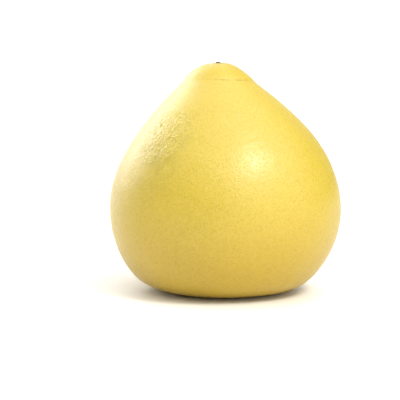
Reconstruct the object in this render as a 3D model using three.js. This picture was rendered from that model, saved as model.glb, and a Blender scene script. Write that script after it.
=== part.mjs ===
// A whole pomelo, as picked: one solid, pear-shaped fruit, and the dry stem button
// that sits in the hollow at its stem end.
//
// Millimetres, +Z up. The fruit rests on the flat spot of its blossom end, at z = 0,
// and the origin is the middle of its outline on that surface. Its neck leans a little
// towards -X and +Y, as the neck of a fruit that hung from a branch does.
import * as THREE from 'three';
import { mergeVertices } from 'three/addons/utils/BufferGeometryUtils.js';

// ---- Driving dimensions ----
const BELLY_DIAMETER = 155;
const CENTRE_HEIGHT = 55; // of the point that all radii of the fruit are measured from

// The body is a sphere with the first terms of a cosine series on it, as shares of the
// belly's radius, and a neck that falls off exponentially with the angle from its axis.
const BELLY_RADIUS = BELLY_DIAMETER / 2;
const BODY_MEAN = 0.9035;
const BODY_TOP_HEAVY = -0.051;
const BODY_SQUARE = -0.063;
const NECK_RISE = 46.3;
const NECK_SPREAD = THREE.MathUtils.degToRad(30.65);

// Where the body would go past these two planes, it is rounded off and ends flat on them.
const STEM_PLANE = 98.2; // above the centre, along the neck
const STEM_ROUNDING = 6.9;
const FLAT_SPOT_ROUNDING = 13;

// Very low lobes round the fruit: how many, how high, and the azimuth of the first crest.
const LOBES = [
  { count: 2, height: 0.5, crest: THREE.MathUtils.degToRad(135) },
  { count: 3, height: 0.7, crest: THREE.MathUtils.degToRad(90) },
  { count: 5, height: 0.45, crest: THREE.MathUtils.degToRad(54) },
];

// The collar: a sloping line round the neck, with a waist that is sharper above the line
// than below it.
const COLLAR_HEIGHT = 86; // of the line above the centre, at the fruit's sides
const COLLAR_SLOPE = 0.135; // the line is lower at the back by this share of the distance
const WAIST_DEPTH = 0.7;
const WAIST_WIDTH_ABOVE = 2.4;
const WAIST_WIDTH_BELOW = 11;

// The hollow at the stem end, and the furrows that run out of it.
const HOLLOW_DEPTH = 1.2;
const HOLLOW_FLOOR_RADIUS = 2.6;
const HOLLOW_RADIUS = 5.6;
const FURROWS = 7;
const FURROW_DEPTH = 0.3;
const FURROW_START = 5;
const FURROW_END = 20;

// The dimple at the blossom end, inside the flat spot.
const DIMPLE_DEPTH = 1.6;
const DIMPLE_RADIUS = 8;

// The stem button: a calyx with five sepals, pressed into the hollow, and the stub of
// the cut stem on it.
const BUTTON_GAP = 0.3; // between the calyx and the skin
const CALYX_RADIUS = 3.5;
const CALYX_THICKNESS = 0.8;
const CALYX_RIM_THICKNESS = 0.4;
const SEPALS = 5;
const SEPAL_SHARE = 0.2; // of the calyx's radius, from its mean rim out to a sepal's tip
const STUB_RADIUS = 1.6;
const STUB_FLARE = 0.35; // how far its foot spreads beyond that radius
const STUB_TOP = 0.5; // above the stem plane
const STUB_EDGE = 0.2; // the slopes at its foot and round its cut top
const STUB_DISH = 0.1; // how far the middle of the cut is sunk

// How finely the solids are faceted. The fruit's rings are set closer at its two ends.
const FRUIT_SEGMENTS = 80;
const FRUIT_RINGS = [
  { untilDeg: 4, rings: 7 },
  { untilDeg: 24, rings: 18 },
  { untilDeg: 145, rings: 26 },
  { untilDeg: 168, rings: 6 },
  { untilDeg: 180, rings: 8 },
];
const BUTTON_SEGMENTS = 40;
const UNDER_STATIONS = [0, 0.35, 0.7, 0.9, 1]; // where the calyx's two sides have rings,
const OVER_STATIONS = [1, 0.85, 0.65]; // as shares of its radius
const WELD_DISTANCE = 1e-3;

// ---- Axes ----
// A direction that leans from +Z by two angles, towards -X and towards +Y.
function leaning(leftDeg, backDeg) {
  const left = Math.tan(THREE.MathUtils.degToRad(leftDeg));
  const back = Math.tan(THREE.MathUtils.degToRad(backDeg));
  return new THREE.Vector3(-left, back, 1).normalize();
}
const NECK_AXIS = leaning(4.4, 3);
const STEM_AXIS = leaning(3, 3); // through the stem button, a little beside the neck's axis

// ---- Small functions of one number ----
const gauss = (x, width) => Math.exp(-((x / width) ** 2));

// Follows x above +k and is 0 below -k, with a parabola between.
function flooredAtZero(x, k) {
  if (x <= -k) return 0;
  return x >= k ? x : (x + k) ** 2 / (4 * k);
}

// ---- The fruit ----
// The smooth body's surface point in a direction from its centre, which is at (0, 0, 0).
function bodyPoint(direction) {
  const angle = direction.angleTo(NECK_AXIS);
  const azimuth = Math.atan2(direction.y, direction.x);
  const series = BODY_MEAN + BODY_TOP_HEAVY * Math.cos(angle) + BODY_SQUARE * Math.cos(2 * angle);
  let radius = BELLY_RADIUS * series + NECK_RISE * Math.exp(-angle / NECK_SPREAD);
  for (const lobe of LOBES) {
    const wave = Math.cos(lobe.count * (azimuth - lobe.crest));
    radius += lobe.height * wave * Math.sin(angle) ** lobe.count;
  }
  const point = direction.clone().multiplyScalar(radius);
  const height = point.dot(NECK_AXIS);
  const kept = STEM_PLANE - flooredAtZero(STEM_PLANE - height, STEM_ROUNDING);
  return point.addScaledVector(NECK_AXIS, kept - height);
}

// How deep the waist along the collar line is at a point of the body.
function waistAt(point) {
  const below = COLLAR_HEIGHT - COLLAR_SLOPE * point.y - point.z;
  return WAIST_DEPTH * gauss(below, below > 0 ? WAIST_WIDTH_BELOW : WAIST_WIDTH_ABOVE);
}

// How deep the furrows are, at a distance and an azimuth from the stem.
function furrowAt(distance, azimuth) {
  if (distance <= FURROW_START || distance >= FURROW_END) return 0;
  const along = (distance - FURROW_START) / (FURROW_END - FURROW_START);
  const fade = Math.sin(Math.PI * Math.sqrt(along)) ** 2;
  return FURROW_DEPTH * fade * (0.5 - 0.5 * Math.cos(FURROWS * azimuth));
}

// How far the hollow's surface is under the stem plane, at a distance from the stem.
function hollowAt(distance) {
  const wall = THREE.MathUtils.smoothstep(distance, HOLLOW_FLOOR_RADIUS, HOLLOW_RADIUS);
  return HOLLOW_DEPTH * (1 - wall);
}

const DIMPLE_CENTRE = STEM_AXIS.clone().multiplyScalar(-CENTRE_HEIGHT / STEM_AXIS.z);

function dimpleAt(x, y) {
  const distance = Math.hypot(x - DIMPLE_CENTRE.x, y - DIMPLE_CENTRE.y);
  return DIMPLE_DEPTH * (1 - THREE.MathUtils.smoothstep(distance, 0, DIMPLE_RADIUS));
}

// The fruit's surface point in a direction from its centre, with z = 0 on the surface
// that it rests on.
function fruitPoint(direction) {
  const point = bodyPoint(direction);
  if (point.z > 0) {
    const beside = point.clone().projectOnPlane(STEM_AXIS);
    const distance = beside.length();
    const azimuth = Math.atan2(beside.y, beside.x);
    point.addScaledVector(direction, -waistAt(point) - furrowAt(distance, azimuth));
    point.addScaledVector(STEM_AXIS, -hollowAt(distance));
    point.z += CENTRE_HEIGHT;
  } else {
    const floor = flooredAtZero(point.z + CENTRE_HEIGHT, FLAT_SPOT_ROUNDING);
    point.z = floor + dimpleAt(point.x, point.y);
  }
  return point;
}

// The polar angle of a ring, when the rings of an even sphere are shared out over the
// bands of FRUIT_RINGS.
const RING_COUNT = FRUIT_RINGS.reduce((sum, band) => sum + band.rings, 0);
function ringAngle(ring) {
  let from = 0;
  let done = 0;
  for (const { untilDeg, rings } of FRUIT_RINGS) {
    if (ring <= done + rings) {
      return THREE.MathUtils.degToRad(from + ((untilDeg - from) * (ring - done)) / rings);
    }
    done += rings;
    from = untilDeg;
  }
  return Math.PI;
}

// A closed geometry's vertices with only their positions, each position once.
function welded(geometry) {
  geometry.deleteAttribute('normal');
  geometry.deleteAttribute('uv');
  return mergeVertices(geometry, WELD_DISTANCE);
}

function fruitGeometry() {
  const geometry = new THREE.SphereGeometry(1, FRUIT_SEGMENTS, RING_COUNT);
  const toStem = new THREE.Quaternion().setFromUnitVectors(new THREE.Vector3(0, 1, 0), STEM_AXIS);
  const position = geometry.getAttribute('position');
  const even = new THREE.Spherical();
  const direction = new THREE.Vector3();
  for (let i = 0; i < position.count; i++) {
    even.setFromVector3(direction.fromBufferAttribute(position, i));
    const ring = Math.round((even.phi / Math.PI) * RING_COUNT);
    direction.setFromSphericalCoords(1, ringAngle(ring), even.theta).applyQuaternion(toStem);
    const point = fruitPoint(direction);
    position.setXYZ(i, point.x, point.y, point.z);
  }
  return welded(geometry);
}

// ---- The stem button ----
// Its outline from the middle of its underside to the middle of its cut top, as
// [radius, height over the stem plane]. Its underside keeps the gap to the hollow.
function buttonOutline() {
  const floor = (radius) => BUTTON_GAP - hollowAt(radius);
  const under = UNDER_STATIONS.map((share) => share * CALYX_RADIUS);
  const over = OVER_STATIONS.map((share) => share * CALYX_RADIUS);
  const thicknessAt = (radius) =>
    THREE.MathUtils.lerp(CALYX_THICKNESS, CALYX_RIM_THICKNESS, radius / CALYX_RADIUS);
  const foot = floor(0) + CALYX_THICKNESS;
  return [
    ...under.map((radius) => [radius, floor(radius)]),
    ...over.map((radius) => [radius, floor(radius) + thicknessAt(radius)]),
    [STUB_RADIUS + STUB_FLARE, foot],
    [STUB_RADIUS, foot + STUB_EDGE],
    [STUB_RADIUS, STUB_TOP - STUB_EDGE],
    [STUB_RADIUS - STUB_EDGE, STUB_TOP],
    [0, STUB_TOP - STUB_DISH],
  ].map(([radius, height]) => new THREE.Vector2(radius, height));
}

function buttonGeometry() {
  const geometry = new THREE.LatheGeometry(buttonOutline(), BUTTON_SEGMENTS);
  const position = geometry.getAttribute('position');
  for (let i = 0; i < position.count; i++) {
    const [x, z] = [position.getX(i), position.getZ(i)];
    const radius = Math.hypot(x, z);
    const lobed = THREE.MathUtils.smoothstep(radius, STUB_RADIUS + STUB_FLARE, CALYX_RADIUS);
    const stretch = 1 + SEPAL_SHARE * lobed * Math.cos(SEPALS * Math.atan2(z, x));
    const grown = radius * stretch;
    const lift = hollowAt(radius) - hollowAt(grown); // a sepal's tip lies up the hollow's wall
    position.setXYZ(i, x * stretch, position.getY(i) + lift * lobed, z * stretch);
  }
  return welded(geometry);
}

// ---- The part ----
function madeOf(name, geometry, color, roughness) {
  const material = new THREE.MeshStandardMaterial({ color, roughness, metalness: 0 });
  const mesh = new THREE.Mesh(geometry, material);
  mesh.name = name;
  return mesh;
}

const fruit = madeOf('fruit', fruitGeometry(), '#f4d65c', 0.4);

// The button stands on the stem plane where the stem's axis meets it.
const stemButton = madeOf('stem_button', buttonGeometry(), '#5f5233', 0.85);
stemButton.position.copy(STEM_AXIS).multiplyScalar(STEM_PLANE / STEM_AXIS.dot(NECK_AXIS));
stemButton.position.z += CENTRE_HEIGHT;
stemButton.quaternion.setFromUnitVectors(new THREE.Vector3(0, 1, 0), STEM_AXIS);

const pomelo = new THREE.Group();
pomelo.add(fruit, stemButton);

// The origin goes to the middle of the outline on the resting surface.
const box = new THREE.Box3().setFromObject(pomelo, true);
const middle = box.getCenter(new THREE.Vector3());
pomelo.position.set(-middle.x, -middle.y, 0);

export default pomelo;
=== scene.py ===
"""The looks of a whole pomelo: its pored yellow rind, and the dry stem button in the
hollow at its stem end. Metres, +Z up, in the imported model's frame."""
import math

import bmesh
import bpy
import numpy as np
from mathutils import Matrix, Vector


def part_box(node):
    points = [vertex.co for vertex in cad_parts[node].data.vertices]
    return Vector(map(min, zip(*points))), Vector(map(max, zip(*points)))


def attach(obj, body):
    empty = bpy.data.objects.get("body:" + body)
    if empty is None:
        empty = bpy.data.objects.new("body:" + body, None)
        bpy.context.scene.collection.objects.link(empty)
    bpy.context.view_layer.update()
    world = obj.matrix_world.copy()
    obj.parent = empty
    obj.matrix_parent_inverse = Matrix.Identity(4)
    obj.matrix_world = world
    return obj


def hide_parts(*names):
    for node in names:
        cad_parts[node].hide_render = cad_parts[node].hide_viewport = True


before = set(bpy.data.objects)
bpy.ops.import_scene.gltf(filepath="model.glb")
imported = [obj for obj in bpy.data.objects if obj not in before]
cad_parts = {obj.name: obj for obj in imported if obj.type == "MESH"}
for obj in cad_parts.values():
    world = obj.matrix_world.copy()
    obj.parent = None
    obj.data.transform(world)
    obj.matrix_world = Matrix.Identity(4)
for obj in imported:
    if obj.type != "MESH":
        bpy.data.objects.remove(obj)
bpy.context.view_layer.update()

# ---- The fruit's driving dimensions, as in the solid model ----
BELLY_RADIUS = 0.0775
CENTRE_HEIGHT = 0.055
BODY_MEAN = 0.9035
BODY_TOP_HEAVY = -0.051
BODY_SQUARE = -0.063
NECK_RISE = 0.0463
NECK_SPREAD = math.radians(30.65)
STEM_PLANE = 0.0982
STEM_ROUNDING = 0.0069
FLAT_SPOT_ROUNDING = 0.013
LOBES = (  # how many round the fruit, how high, and the azimuth of the first crest
    (2, 0.0005, math.radians(135)),
    (3, 0.0007, math.radians(90)),
    (5, 0.00045, math.radians(54)),
)
COLLAR_HEIGHT = 0.086
COLLAR_SLOPE = 0.135
WAIST_DEPTH = 0.0007
WAIST_WIDTH_ABOVE = 0.0024
WAIST_WIDTH_BELOW = 0.011
HOLLOW_DEPTH = 0.0012
HOLLOW_FLOOR_RADIUS = 0.0026
HOLLOW_RADIUS = 0.0056
FURROWS = 7
FURROW_DEPTH = 0.0003
FURROW_START = 0.005
FURROW_END = 0.020
DIMPLE_DEPTH = 0.0016
DIMPLE_RADIUS = 0.008

# ---- The stem button's ----
BUTTON_GAP = 0.0003
CALYX_RADIUS = 0.0035
CALYX_THICKNESS = 0.0008
CALYX_RIM_THICKNESS = 0.0004
SEPALS = 5
SEPAL_SHARE = 0.2
CALYX_LOBES = ((SEPALS, SEPAL_SHARE, 0), (2, 0.03, 1))  # count, share of the radius, turn
SEPALS_PART = (0.5, 0.95)  # where the sepals part, as shares of the way out to the rim
MIDRIB_HEIGHT = 0.00018
SEPAL_WRINKLES = 23
SEPAL_WRINKLE_HEIGHT = 0.00006
SEPALS_WRINKLED = (0.3, 0.6)  # where their wrinkles grow in, as shares of it too
STUB_RADIUS = 0.0016
STUB_LOBES = ((3, 0.06, 1), (8, 0.04, 0))  # as the calyx's
STUB_EDGE = (0.88, 1.12)  # where its side falls to the calyx, as shares of its radius
STUB_TOP = 0.0005
CUT_RIPPLE = 0.00012
CUT_GRAIN = 0.00003
BUTTON_SEGMENTS = 120
BUTTON_RINGS = (  # from and to, as shares of the way out, and how many: closest at the stub's edge
    (0.05, 0.30, 6),
    (0.33, 0.50, 10),
    (0.54, 1, 18),
)

# ---- The fine surface ----
RIND_FREQUENCY = 97  # edges of the rind's triangles along each edge of an icosahedron
END_CROWDING = 0.4  # how much closer they are at the stem and the blossom end
END_CROWDING_SPREAD = 0.3
PIT_DEPTH = 0.00013
PIT_RANGE = (0.5, 1.3)  # the shallowest and the deepest pit, as shares of that
HOLLOW_SMOOTHING = 0.8  # the share of their depth that pits lose in the hollow under the calyx
GRAIN = 0.00002  # the spread of a height drawn anew at every vertex of the rind
FLOOR_SMOOTHING = 0.002  # the fine surface grows in over this height above the floor
UNEVENNESS = ((0.045, 0.00015), (0.018, 0.00005), (0.007, 0.00003))  # wavelength, height
WAVES = 12  # how many random waves are added up for each of those
WAVES_ROOT = 3.5  # about the root of that, which their sum is divided by
WRINKLES = ((0.0045, 0.00006), (0.0027, 0.00011))  # wavelength across them, height
WRINKLE_RUN = np.array([0.52, 0.38, 0.77])  # the direction that they run in
WRINKLE_SQUEEZE = 0.6  # lengths along it shrink to this share before the waves are laid
RANDOM_SEED = 8

# Spots on the rind: place from the fruit's centre, reach, and the core where each is whole
PATCH = ((-0.039, -0.039, 0.054), 0.031, 0.011)  # the wrinkles on the left shoulder
SHOULDER_GREEN_AND_SHADE = ((-0.044, -0.046, 0.036), 0.036, 0)  # the green and painted shade below them
COLLAR_FRONT = ((0.009, -0.025, 0.0895), 0.023, 0.013)  # where the collar's line shows most
STEM_SHADE = (0.009, 0.003)  # reach and core only of the green and painted shade, because it is round the stem
SCAR = (0.0032, 0.0012)  # and this is in the dimple

# ---- The rind's looks ----
# Linear colours. A tint multiplies what is under it
RIND_COLOR = (0.48, 0.357, 0.027, 1)
RIND_LIGHTER = (0.51, 0.381, 0.033, 1)
GLAND_COLOR = (0.39, 0.28, 0.012, 1)
PIT_COLOR = (0.33, 0.225, 0.012, 1)
MOTTLE_COLOR = (0.54, 0.405, 0.070, 1)
BASE_GOLD_AND_SHADE_TINT = (0.90, 0.82, 0.38, 1)
CAP_TINT = (1.0, 0.96, 0.5, 1)
GREEN_AND_SHADE_TINT = (0.76, 0.77, 0.55, 1)
SPECK_COLOR = (0.36, 0.29, 0.006, 1)
GROOVE_SHADE_COLOR = (0.38, 0.26, 0.004, 1)
STEM_END_GREEN_AND_SHADE = (0.30, 0.27, 0.03, 1)
SCAR_COLOR = (0.16, 0.09, 0.02, 1)
# How large the features of its patterns are
PORE_SPACING = 0.0013
BROAD_SIZE = 0.03
FINE_SIZE = 0.004
MOTTLE_SIZE = 0.0009
SPECK_SIZE = 0.0007
GROOVE_BREAK = 0.003
GLOSS_SIZE = 0.0015
CREASE_SIZE = 0.0008
BASE_GOLD_AND_SHADE_FADE = (-0.04, 0.03)  # heights over the fruit's centre where its golden tint and painted shade start to fade and end
CAP_FADE = (-0.001, 0.006)  # heights over the collar's line where its tint starts and is whole
GROOVE_EDGE = (0.0001, 0.0008)  # distances from that line where its groove starts to fade and ends
# How far its finest relief, which is the shader's alone, rises
GLAND_RISE = (-0.0001, 0.0002)  # away from the wrinkled patch, and in it
MOTTLE_RISE = 0.00005
GROOVE_RISE = -0.0002
CREASE_RISE = 0.00034
ROUGHNESS_RANGE = (0.34, 0.46)
PATCH_ROUGHNESS_CHANGE = -0.05

# ---- The stem button's looks ----
DARK_WOOD_COLOR = (0.045, 0.030, 0.008, 1)
WOOD_COLOR = (0.16, 0.115, 0.035, 1)
WEATHERED_COLOR = (0.12, 0.11, 0.025, 1)
CUT_COLOR = (0.28, 0.20, 0.08, 1)
CUT_EDGE = (0.95, 0.7)  # where its colour ends and is whole, as shares of the stub's radius
FIBRE_SIZE = 0.0003
FIBRE_SQUEEZE = 0.25
FIBRE_RISE = 0.00012
WEATHERED_SIZE = 0.0012

# ---- Camera, light and floor ----
CAMERA_ELEVATION = math.radians(8)
CAMERA_DISTANCE = 1.3
LENS = 173.8  # in millimetres, as the sensor is
SENSOR_WIDTH = 36
VIEW_END = 20
FRAMED_LEFT = 0.0170  # the camera's aim is this far left of the fruit's centre, and
FRAMED_ABOVE = 0.0059  # this far above it
# Distant lamps: direction from the fruit, how wide each one looks from it, strength
KEY = (Vector((0.44, -0.47, 0.77)), math.radians(17), 1.8)
OVERHEAD = (Vector((0.50, -0.42, 0.76)), math.radians(95), 1.12)
LEFT_BACK = (Vector((-0.64, 0.58, 0.50)), math.radians(44), 1.4)
ROOM_STRENGTH = 0.8
ROOM_SIDES = (  # where the room's even light is dimmer or brighter, and by how much
    (Vector((0.70, 0.70, 0.10)).normalized(), -0.7),
    (Vector((-0.40, 0.90, 0.10)).normalized(), 0.9),
    (Vector((-0.80, 0.60, 0)).normalized(), 0.35),
    (Vector((-0.75, -0.65, -0.10)).normalized(), -0.42),
    (Vector((0.70, -0.70, 0.15)).normalized(), 0.3),
    (Vector((0, 0, 1)), 0.7),
)
SIDE_FADE = (0.4, 0.95)  # cosines from a side's middle where its change starts and is whole
FLOOR_REACH = 6.0  # from its middle to its sides
FLOOR_COLORS = ((0.87, 0.85, 0.79, 1), (0.89, 0.87, 0.81, 1))
FLOOR_SHADE_SIZE = 0.05


def leaning(left, back):
    """A direction that leans from +Z by two angles, towards -X and towards +Y."""
    axis = np.array([-math.tan(left), math.tan(back), 1.0])
    return axis / np.linalg.norm(axis)


NECK_AXIS = leaning(math.radians(4.4), math.radians(3))
STEM_AXIS = leaning(math.radians(3), math.radians(3))


# ---- Camera and lamps ----
def aimed(obj, at):
    """Turns a camera or lamp so that it looks at a point."""
    obj.rotation_euler = (Vector(at) - obj.location).to_track_quat("-Z", "Y").to_euler()
    return obj


def add_camera(centre):
    data = bpy.data.cameras.new("camera")
    data.lens = LENS
    data.sensor_width = SENSOR_WIDTH
    data.clip_end = VIEW_END
    camera = bpy.data.objects.new("camera", data)
    bpy.context.scene.collection.objects.link(camera)
    back = Vector((0, -math.cos(CAMERA_ELEVATION), math.sin(CAMERA_ELEVATION)))
    up = Vector((0, math.sin(CAMERA_ELEVATION), math.cos(CAMERA_ELEVATION)))
    camera.location = centre + back * CAMERA_DISTANCE
    aimed(camera, centre + Vector((-FRAMED_LEFT, 0, 0)) + up * FRAMED_ABOVE)
    bpy.context.scene.camera = camera


def add_lamp(name, direction, spread, strength):
    """A soft, distant lamp, which lights the floor as evenly as the fruit."""
    data = bpy.data.lights.new(name, "SUN")
    data.energy = strength
    data.angle = spread
    lamp = bpy.data.objects.new(name, data)
    bpy.context.scene.collection.objects.link(lamp)
    lamp.location = direction
    return aimed(lamp, (0, 0, 0))


# ---- Shader building ----
class Shader:
    """A material's or world's node tree, with a short method for each kind of node used here."""

    def __init__(self, owner, surface="Principled BSDF", coordinates="Object"):
        owner.use_nodes = True
        self.tree = owner.node_tree
        self.surface = self.tree.nodes[surface]
        self.where = self.add("ShaderNodeTexCoord").outputs[coordinates]

    def add(self, kind, inputs=None, **settings):
        node = self.tree.nodes.new(kind)
        for name, value in settings.items():
            setattr(node, name, value)
        for name, value in (inputs or {}).items():
            self.put(node.inputs[name], value)
        return node

    def put(self, socket, value):
        if isinstance(value, bpy.types.NodeSocket):
            self.tree.links.new(value, socket)
        else:
            socket.default_value = value

    def set(self, **values):
        """Sets the surface's own sockets, with _ for the spaces in their names."""
        for name, value in values.items():
            self.put(self.surface.inputs[name.replace("_", " ")], value)

    def math(self, operation, a, b=0.0, c=0.0):
        node = self.add("ShaderNodeMath", operation=operation)
        for socket, value in zip(node.inputs, (a, b, c)):
            self.put(socket, value)
        return node.outputs[0]

    def times(self, a, b):
        return self.math("MULTIPLY", a, b)

    def noise(self, size, detail=2.0, roughness=0.5, where=None):
        """Noise from 0 to 1, with features about `size` across."""
        where = where or self.where
        inputs = {"Vector": where, "Scale": 0.5 / size, "Detail": detail, "Roughness": roughness}
        return self.add("ShaderNodeTexNoise", inputs).outputs["Fac"]

    def squeezed(self, direction, share):
        """Coordinates in which a pattern comes out 1 / share times as long along a direction."""
        direction = tuple(map(float, direction))
        along = self.add("ShaderNodeVectorMath", {0: self.where, 1: direction}, operation="DOT_PRODUCT")
        excess = self.times(along.outputs["Value"], share - 1)
        inputs = {0: direction, "Scale": excess}
        shift = self.add("ShaderNodeVectorMath", inputs, operation="SCALE").outputs[0]
        return self.add("ShaderNodeVectorMath", {0: self.where, 1: shift}, operation="ADD").outputs[0]

    def cells(self, size):
        """The distance to the nearest of some scattered points, as a share of their spacing."""
        inputs = {"Vector": self.where, "Scale": 1 / size}
        return self.add("ShaderNodeTexVoronoi", inputs).outputs["Distance"]

    def ease(self, value, start, end, low=0.0, high=1.0):
        """Goes smoothly from low to high as a value goes from start to end."""
        inputs = {"Value": value, "From Min": start, "From Max": end, "To Min": low, "To Max": high}
        return self.add("ShaderNodeMapRange", inputs, interpolation_type="SMOOTHSTEP").outputs["Result"]

    def near(self, point, reach, core):
        """1 within `core` of a point, falling smoothly to 0 at `reach` from it."""
        offset = self.add("ShaderNodeVectorMath", {0: self.where, 1: tuple(point)}, operation="DISTANCE")
        return self.ease(offset.outputs["Value"], core, reach, 1.0, 0.0)

    def above(self, normal, point):
        """The distance above a plane through a point."""
        along = self.add("ShaderNodeVectorMath", {0: self.where, 1: tuple(normal)}, operation="DOT_PRODUCT")
        return self.math("SUBTRACT", along.outputs["Value"], float(np.dot(normal, point)))

    def mix(self, factor, a, b, blend="MIX"):
        node = self.add("ShaderNodeMix", data_type="RGBA", blend_type=blend)
        for place, value in ((0, factor), (6, a), (7, b)):  # the sockets that it has for colours
            self.put(node.inputs[place], value)
        return node.outputs[2]

    def attribute(self, name):
        return self.add("ShaderNodeAttribute", attribute_name=name).outputs["Fac"]

    def bump(self, height):
        """The normal of a surface raised by a height in metres."""
        inputs = {"Height": height, "Strength": 1.0, "Distance": 1.0}
        return self.add("ShaderNodeBump", inputs).outputs["Normal"]


# ---- The fruit's shape ----
def floored_at_zero(x, k):
    """Follows x above +k and is 0 below -k, with a parabola between."""
    return np.where(x >= k, x, np.where(x <= -k, 0.0, (x + k) ** 2 / (4 * k)))


def smoothstep(x, start, end):
    t = np.clip((x - start) / (end - start), 0, 1)
    return t * t * (3 - 2 * t)


def angle_from(axis, directions):
    return np.arccos(np.clip(directions @ axis, -1, 1))


def body_points(directions):
    """The smooth body's surface points in some directions from its centre."""
    angle = angle_from(NECK_AXIS, directions)
    azimuth = np.arctan2(directions[:, 1], directions[:, 0])
    series = BODY_MEAN + BODY_TOP_HEAVY * np.cos(angle) + BODY_SQUARE * np.cos(2 * angle)
    radius = BELLY_RADIUS * series + NECK_RISE * np.exp(-angle / NECK_SPREAD)
    for count, height, crest in LOBES:
        radius += height * np.cos(count * (azimuth - crest)) * np.sin(angle) ** count
    points = directions * radius[:, None]
    height = points @ NECK_AXIS
    kept = STEM_PLANE - floored_at_zero(STEM_PLANE - height, STEM_ROUNDING)
    return points + np.outer(kept - height, NECK_AXIS)


def below_collar(points):
    """How far some points are below the sloping line of the collar."""
    return COLLAR_HEIGHT - COLLAR_SLOPE * points[:, 1] - points[:, 2]


def hollow_at(distance):
    return HOLLOW_DEPTH * (1 - smoothstep(distance, HOLLOW_FLOOR_RADIUS, HOLLOW_RADIUS))


def furrow_at(distance, azimuth):
    along = np.clip((distance - FURROW_START) / (FURROW_END - FURROW_START), 0, 1)
    fade = np.sin(np.pi * np.sqrt(along)) ** 2
    return FURROW_DEPTH * fade * (0.5 - 0.5 * np.cos(FURROWS * azimuth))


DIMPLE_CENTRE = -STEM_AXIS * CENTRE_HEIGHT / STEM_AXIS[2]


def dimple_at(points):
    distance = np.hypot(points[:, 0] - DIMPLE_CENTRE[0], points[:, 1] - DIMPLE_CENTRE[1])
    return DIMPLE_DEPTH * (1 - smoothstep(distance, 0, DIMPLE_RADIUS))


def fruit_points(directions):
    """The fruit's surface points, from its centre, without its fine surface."""
    points = body_points(directions)
    upper = points[:, 2] > 0
    beside = points - np.outer(points @ STEM_AXIS, STEM_AXIS)
    distance = np.linalg.norm(beside, axis=1)
    azimuth = np.arctan2(beside[:, 1], beside[:, 0])
    below = below_collar(points)
    width = np.where(below > 0, WAIST_WIDTH_BELOW, WAIST_WIDTH_ABOVE)
    waist = WAIST_DEPTH * np.exp(-((below / width) ** 2))
    top = points - directions * (waist + furrow_at(distance, azimuth))[:, None]
    top -= np.outer(hollow_at(distance), STEM_AXIS)
    floor = floored_at_zero(points[:, 2] + CENTRE_HEIGHT, FLAT_SPOT_ROUNDING)
    base = points.copy()
    base[:, 2] = floor + dimple_at(points) - CENTRE_HEIGHT
    return np.where(upper[:, None], top, base)


# ---- The rind ----
def geodesic(frequency):
    """The directions and triangles of an icosahedron with each edge cut in equal parts."""
    solid = bmesh.new()
    bmesh.ops.create_icosphere(solid, subdivisions=1, radius=1)
    corners = [[np.array(v.co) for v in face.verts] for face in solid.faces]
    solid.free()
    rows, columns = np.meshgrid(range(frequency + 1), range(frequency + 1), indexing="ij")
    kept = rows + columns <= frequency
    i, j = rows[kept], columns[kept]
    index = np.full(rows.shape, -1)
    index[kept] = np.arange(len(i))
    up = i + j < frequency
    down = i + j < frequency - 1
    ups = np.stack([index[i[up], j[up]], index[i[up] + 1, j[up]], index[i[up], j[up] + 1]], 1)
    i, j = i[down], j[down]
    downs = np.stack([index[i + 1, j], index[i + 1, j + 1], index[i, j + 1]], 1)
    share = np.stack([frequency - rows[kept] - columns[kept], rows[kept], columns[kept]], 1) / frequency
    points = np.concatenate([share @ np.array(corner) for corner in corners])
    points /= np.linalg.norm(points, axis=1)[:, None]
    faces = np.concatenate([np.concatenate([ups, downs]) + n * len(share) for n in range(len(corners))])
    _, first, same = np.unique(points.round(6), axis=0, return_index=True, return_inverse=True)
    return points[first], same.ravel()[faces]


def crowded_towards(axis, directions):
    """Turns directions a little towards an axis, most near it."""
    angle = angle_from(axis, directions)
    turned = angle * (1 - END_CROWDING * np.exp(-((angle / END_CROWDING_SPREAD) ** 2)))
    beside = directions - np.outer(directions @ axis, axis)
    beside /= np.maximum(np.linalg.norm(beside, axis=1), 1e-9)[:, None]
    return np.outer(np.cos(turned), axis) + beside * np.sin(turned)[:, None]


def spaced_pits(count, faces, draw):
    """1 at vertices picked in a random order so that no two share an edge, else 0."""
    edges = np.concatenate([faces[:, [0, 1]], faces[:, [1, 2]], faces[:, [2, 0]]])
    order = np.argsort(edges[:, 0], kind="stable")
    ends = edges[order, 1]
    start = np.searchsorted(edges[order, 0], np.arange(count + 1))
    free = np.ones(count, bool)
    pits = np.zeros(count)
    for vertex in draw.permutation(count):
        if free[vertex]:
            pits[vertex] = 1
            free[ends[start[vertex]:start[vertex + 1]]] = False
    return pits


def uneven(points, waves, draw):
    """A sum of low random waves over the surface, as heights."""
    height = np.zeros(len(points))
    for wavelength, size in waves:
        for _ in range(WAVES):
            wave = draw.normal(size=3)
            wave *= 2 * np.pi / wavelength / np.linalg.norm(wave)
            height += size / WAVES_ROOT * np.sin(points @ wave + draw.uniform(0, 2 * np.pi))
    return height


def add_mesh(name, points, faces, material):
    mesh = bpy.data.meshes.new(name)
    mesh.from_pydata(points.tolist(), [], [list(map(int, face)) for face in faces])
    mesh.materials.append(material)
    mesh.shade_smooth()
    obj = bpy.data.objects.new(name, mesh)
    bpy.context.scene.collection.objects.link(obj)
    return obj


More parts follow.
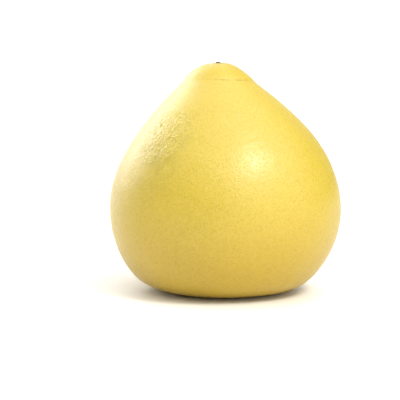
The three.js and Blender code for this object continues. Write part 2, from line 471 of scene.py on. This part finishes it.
def add_rind():
    """The rind, and the place of the fruit's centre in the frame."""
    draw = np.random.default_rng(RANDOM_SEED)
    directions, faces = geodesic(RIND_FREQUENCY)
    for axis in (STEM_AXIS, -STEM_AXIS):
        directions = crowded_towards(axis, directions)
    points = fruit_points(directions)
    low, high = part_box("fruit")
    middle = (points.max(0) + points.min(0)) / 2
    centre = Vector(((low.x + high.x) / 2 - middle[0], (low.y + high.y) / 2 - middle[1], CENTRE_HEIGHT))
    pits = spaced_pits(len(points), faces, draw) * draw.uniform(*PIT_RANGE, len(points))
    above_floor = smoothstep(points[:, 2] + CENTRE_HEIGHT, 0, FLOOR_SMOOTHING)
    hollow = hollow_at(np.linalg.norm(np.cross(points, STEM_AXIS), axis=1))
    pit_share = 1 - HOLLOW_SMOOTHING * (hollow > 0)
    grain = draw.normal(0, GRAIN, len(points))
    place, reach, core = PATCH
    wrinkled = 1 - smoothstep(np.linalg.norm(points - place, axis=1), core, reach)
    squeezed = points - (1 - WRINKLE_SQUEEZE) * np.outer(points @ WRINKLE_RUN, WRINKLE_RUN)
    height = uneven(points, UNEVENNESS, draw) + wrinkled * uneven(squeezed, WRINKLES, draw)
    height = (height + grain - PIT_DEPTH * pits * pit_share) * above_floor
    points = points + directions * height[:, None] + np.array(centre)
    rind = add_mesh("rind", points, faces, rind_material(centre))
    shade = rind.data.attributes.new("pit", "FLOAT", "POINT")
    shade.data.foreach_set("value", pits)
    return rind, centre


def rind_ground(shader, gland, broad):
    """The rind's yellow: mottled, and deeper in its oil glands and pits."""
    color = shader.mix(shader.ease(broad, 0.3, 0.7), RIND_COLOR, RIND_LIGHTER)
    color = shader.mix(shader.times(gland, 0.8), color, GLAND_COLOR)
    color = shader.mix(shader.times(shader.attribute("pit"), 0.06), color, PIT_COLOR)
    mottle = shader.ease(shader.noise(MOTTLE_SIZE, 2, 0.6), 0.35, 0.65)
    return shader.mix(shader.times(mottle, 0.5), color, MOTTLE_COLOR)


def collar_groove(shader, over_collar, front, broad):
    """1 along the collar's line, which is broken, most of all away from the front. 0 off it."""
    off_line = shader.ease(shader.math("ABSOLUTE", over_collar), *GROOVE_EDGE)
    line = shader.math("SUBTRACT", 1.0, off_line)
    drawn = shader.math("MAXIMUM", front, shader.ease(broad, 0.58, 0.68))
    broken = shader.ease(shader.noise(GROOVE_BREAK, 2), 0.3, 0.5)
    return shader.times(shader.times(line, drawn), broken)


def rind_relief(shader, gland, groove, patch):
    """The heights of the rind's finest relief. Glands are dents, but bumps in the wrinkled patch."""
    height = shader.times(gland, shader.ease(patch, 0.0, 0.7, *GLAND_RISE))
    height = shader.math("MULTIPLY_ADD", shader.noise(MOTTLE_SIZE, 2), MOTTLE_RISE, height)
    height = shader.math("MULTIPLY_ADD", groove, GROOVE_RISE, height)
    crease = shader.noise(CREASE_SIZE, 2, 0.6, shader.squeezed(WRINKLE_RUN, WRINKLE_SQUEEZE))
    return shader.math("MULTIPLY_ADD", shader.times(patch, crease), CREASE_RISE, height)


def rind_material(centre):
    """Waxy citrus rind: oil glands, a warmer cap, a green patch on one shoulder, scars, and painted shade
    on that patch, along the collar's crease, round the stem and towards the base.
    """
    material = bpy.data.materials.new("rind")
    shader = Shader(material)
    origin = np.array(centre)

    def spot(place, reach, core):
        return shader.near(origin + np.array(place), reach, core)

    gland = shader.ease(shader.cells(PORE_SPACING), 0.0, 0.6, 1.0, 0.0)
    broad = shader.noise(BROAD_SIZE, 3)
    fine = shader.noise(FINE_SIZE, 3)
    color = rind_ground(shader, gland, broad)

    # Painted shade towards the bottom, on a rind that is more golden there
    base = shader.ease(shader.above((0, 0, 1), origin), *BASE_GOLD_AND_SHADE_FADE, 1.0, 0.0)
    color = shader.mix(base, color, BASE_GOLD_AND_SHADE_TINT, "MULTIPLY")
    over_collar = shader.above((0, COLLAR_SLOPE, 1), origin + np.array([0, 0, COLLAR_HEIGHT]))
    color = shader.mix(shader.ease(over_collar, *CAP_FADE), color, CAP_TINT, "MULTIPLY")
    # A green patch on the left shoulder, darkened with painted shade
    green_and_shade = shader.times(spot(*SHOULDER_GREEN_AND_SHADE), shader.ease(fine, 0.35, 0.7, 0.4, 1.0))
    color = shader.mix(green_and_shade, color, GREEN_AND_SHADE_TINT, "MULTIPLY")
    patch = spot(*PATCH)
    speck = shader.times(patch, shader.ease(shader.noise(SPECK_SIZE, 2), 0.48, 0.56, 0.0, 0.7))
    color = shader.mix(speck, color, SPECK_COLOR)
    groove = collar_groove(shader, over_collar, spot(*COLLAR_FRONT), broad)
    # Painted shade along the collar's crease
    color = shader.mix(shader.times(groove, 0.85), color, GROOVE_SHADE_COLOR)
    # Greener rind round the stem end, darkened with painted shade in the hollow
    color = shader.mix(spot(STEM_AXIS * STEM_PLANE, *STEM_SHADE), color, STEM_END_GREEN_AND_SHADE)
    color = shader.mix(spot(DIMPLE_CENTRE, *SCAR), color, SCAR_COLOR)

    roughness = shader.ease(shader.noise(GLOSS_SIZE, 3), 0.3, 0.7, *ROUGHNESS_RANGE)
    smoother = shader.ease(patch, 0.0, 0.7, 0.0, PATCH_ROUGHNESS_CHANGE)
    shader.set(
        Base_Color=color,
        Roughness=shader.math("ADD", roughness, smoother),
        Normal=shader.bump(rind_relief(shader, gland, groove, patch)),
        Subsurface_Weight=0.2,
        Subsurface_Radius=(1.0, 0.6, 0.2),
        Subsurface_Scale=0.002,
        Coat_Weight=0.2,
        Coat_Roughness=0.3,
    )
    return material


# ---- The stem button ----
def button_material(place):
    """Dry, weathered wood, with darker furrows and a paler cut face."""
    material = bpy.data.materials.new("dry_stem")
    shader = Shader(material)
    fibre = shader.noise(FIBRE_SIZE, 4, 0.65, shader.squeezed((0, 0, 1), FIBRE_SQUEEZE))
    weathered = shader.noise(WEATHERED_SIZE, 2)
    color = shader.mix(shader.ease(fibre, 0.3, 0.7), DARK_WOOD_COLOR, WOOD_COLOR)
    color = shader.mix(shader.ease(weathered, 0.4, 0.75), color, WEATHERED_COLOR)
    top = np.array(place) + STEM_AXIS * STUB_TOP
    cut = shader.near(top, *(STUB_RADIUS * share for share in CUT_EDGE))
    color = shader.mix(shader.times(cut, 0.55), color, CUT_COLOR)
    height = shader.times(fibre, FIBRE_RISE)
    shader.set(Base_Color=color, Roughness=0.85, Specular_IOR_Level=0.2, Normal=shader.bump(height))
    return material


def lobed(azimuth, lobes):
    """A radius of 1 with low waves round it."""
    radius = np.ones(azimuth.shape)
    for count, height, turn in lobes:
        radius += height * np.cos(count * azimuth + turn)
    return radius


def button_surface(radius, azimuth, rim, draw):
    """The height of the button's top over the stem plane, at places on a polar grid."""
    floor = BUTTON_GAP - hollow_at(radius)
    share = radius / rim
    thickness = CALYX_THICKNESS + (CALYX_RIM_THICKNESS - CALYX_THICKNESS) * share
    midrib = MIDRIB_HEIGHT * np.cos(SEPALS * azimuth) * np.sin(np.pi * np.clip(share, 0, 1))
    winding = SEPAL_WRINKLES * azimuth + 2 * np.sin(3 * azimuth)
    wrinkle = SEPAL_WRINKLE_HEIGHT * np.sin(winding) * smoothstep(share, *SEPALS_WRINKLED)
    calyx = floor + (thickness + midrib + wrinkle) * np.sqrt(np.clip(1 - share ** 6, 0, 1))
    inside = 1 - smoothstep(radius / (STUB_RADIUS * lobed(azimuth, STUB_LOBES)), *STUB_EDGE)
    ripple = CUT_RIPPLE * np.cos(2 * np.pi * radius / STUB_RADIUS)
    cut = STUB_TOP - ripple + draw.normal(0, CUT_GRAIN, radius.shape)
    return calyx + (cut - calyx) * inside


def add_button(place, material):
    draw = np.random.default_rng(RANDOM_SEED)
    shares = np.concatenate([np.linspace(*stretch) for stretch in BUTTON_RINGS])
    azimuth = np.linspace(0, 2 * np.pi, BUTTON_SEGMENTS, endpoint=False)
    rim = CALYX_RADIUS * lobed(azimuth, CALYX_LOBES)
    share, angle = np.meshgrid(shares, azimuth, indexing="ij")
    radius = share * (CALYX_RADIUS + (rim - CALYX_RADIUS) * smoothstep(share, *SEPALS_PART))
    over = button_surface(radius, angle, np.broadcast_to(rim, radius.shape), draw)
    under = BUTTON_GAP - hollow_at(radius)
    rings = len(shares)
    across = np.stack([radius * np.cos(angle), radius * np.sin(angle)], 2)
    top = np.concatenate([across, over[..., None]], 2).reshape(-1, 3)
    bottom = np.concatenate([across, under[..., None]], 2)[:-1].reshape(-1, 3)
    poles = np.array([[0, 0, over[0].mean()], [0, 0, under[0].mean()]])
    points = np.concatenate([top, bottom, poles])
    faces = []
    for k in range(BUTTON_SEGMENTS):
        n = (k + 1) % BUTTON_SEGMENTS
        faces.append((len(points) - 2, k, n))
        faces.append((len(points) - 1, len(top) + n, len(top) + k))
        for ring in range(rings - 1):
            a, b = ring * BUTTON_SEGMENTS, (ring + 1) * BUTTON_SEGMENTS
            faces.append((a + k, b + k, b + n, a + n))
            low = len(top) + a
            outer = b if ring == rings - 2 else low + BUTTON_SEGMENTS
            faces.append((low + k, low + n, outer + n, outer + k))
    upright = Vector((0, 0, 1)).rotation_difference(Vector(STEM_AXIS)).to_matrix()
    points = points @ np.array(upright).T + np.array(place)
    return add_mesh("stem_calyx", points, faces, material)


# ---- The room ----
def light_room():
    """White light from all round, dimmer or brighter from some sides."""
    world = bpy.data.worlds.new("white_room")
    room = Shader(world, "Background", "Generated")
    strength = ROOM_STRENGTH
    for side, change in ROOM_SIDES:
        towards = room.add("ShaderNodeVectorMath", {0: room.where, 1: side}, operation="DOT_PRODUCT")
        level = room.ease(towards.outputs["Value"], *SIDE_FADE, 0.0, change)
        strength = room.math("ADD", level, strength)
    room.set(Color=(1, 1, 1, 1), Strength=strength)
    bpy.context.scene.world = world
    bpy.context.scene.view_settings.view_transform = "Standard"


def add_floor():
    material = bpy.data.materials.new("white_floor")
    shader = Shader(material)
    shade = shader.ease(shader.noise(FLOOR_SHADE_SIZE, 2), 0.2, 0.8)
    shader.set(Base_Color=shader.mix(shade, *FLOOR_COLORS), Roughness=0.5)
    corners = FLOOR_REACH * np.array([[-1, -1, 0], [1, -1, 0], [1, 1, 0], [-1, 1, 0]])
    floor = add_mesh("floor", corners, [(0, 1, 2, 3)], material)


# ---- The part ----
def main():
    light_room()
    rind, centre = add_rind()
    add_camera(centre)
    add_lamp("key", *KEY)
    add_lamp("overhead", *OVERHEAD)
    add_lamp("left_back", *LEFT_BACK).visible_diffuse = False  # only seen as a sheen
    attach(rind, "root")
    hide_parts("fruit")

    place = centre + Vector(STEM_AXIS) * (STEM_PLANE / float(STEM_AXIS @ NECK_AXIS))
    button = add_button(place, button_material(place))
    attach(button, "root")
    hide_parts("stem_button")

    add_floor()


main()
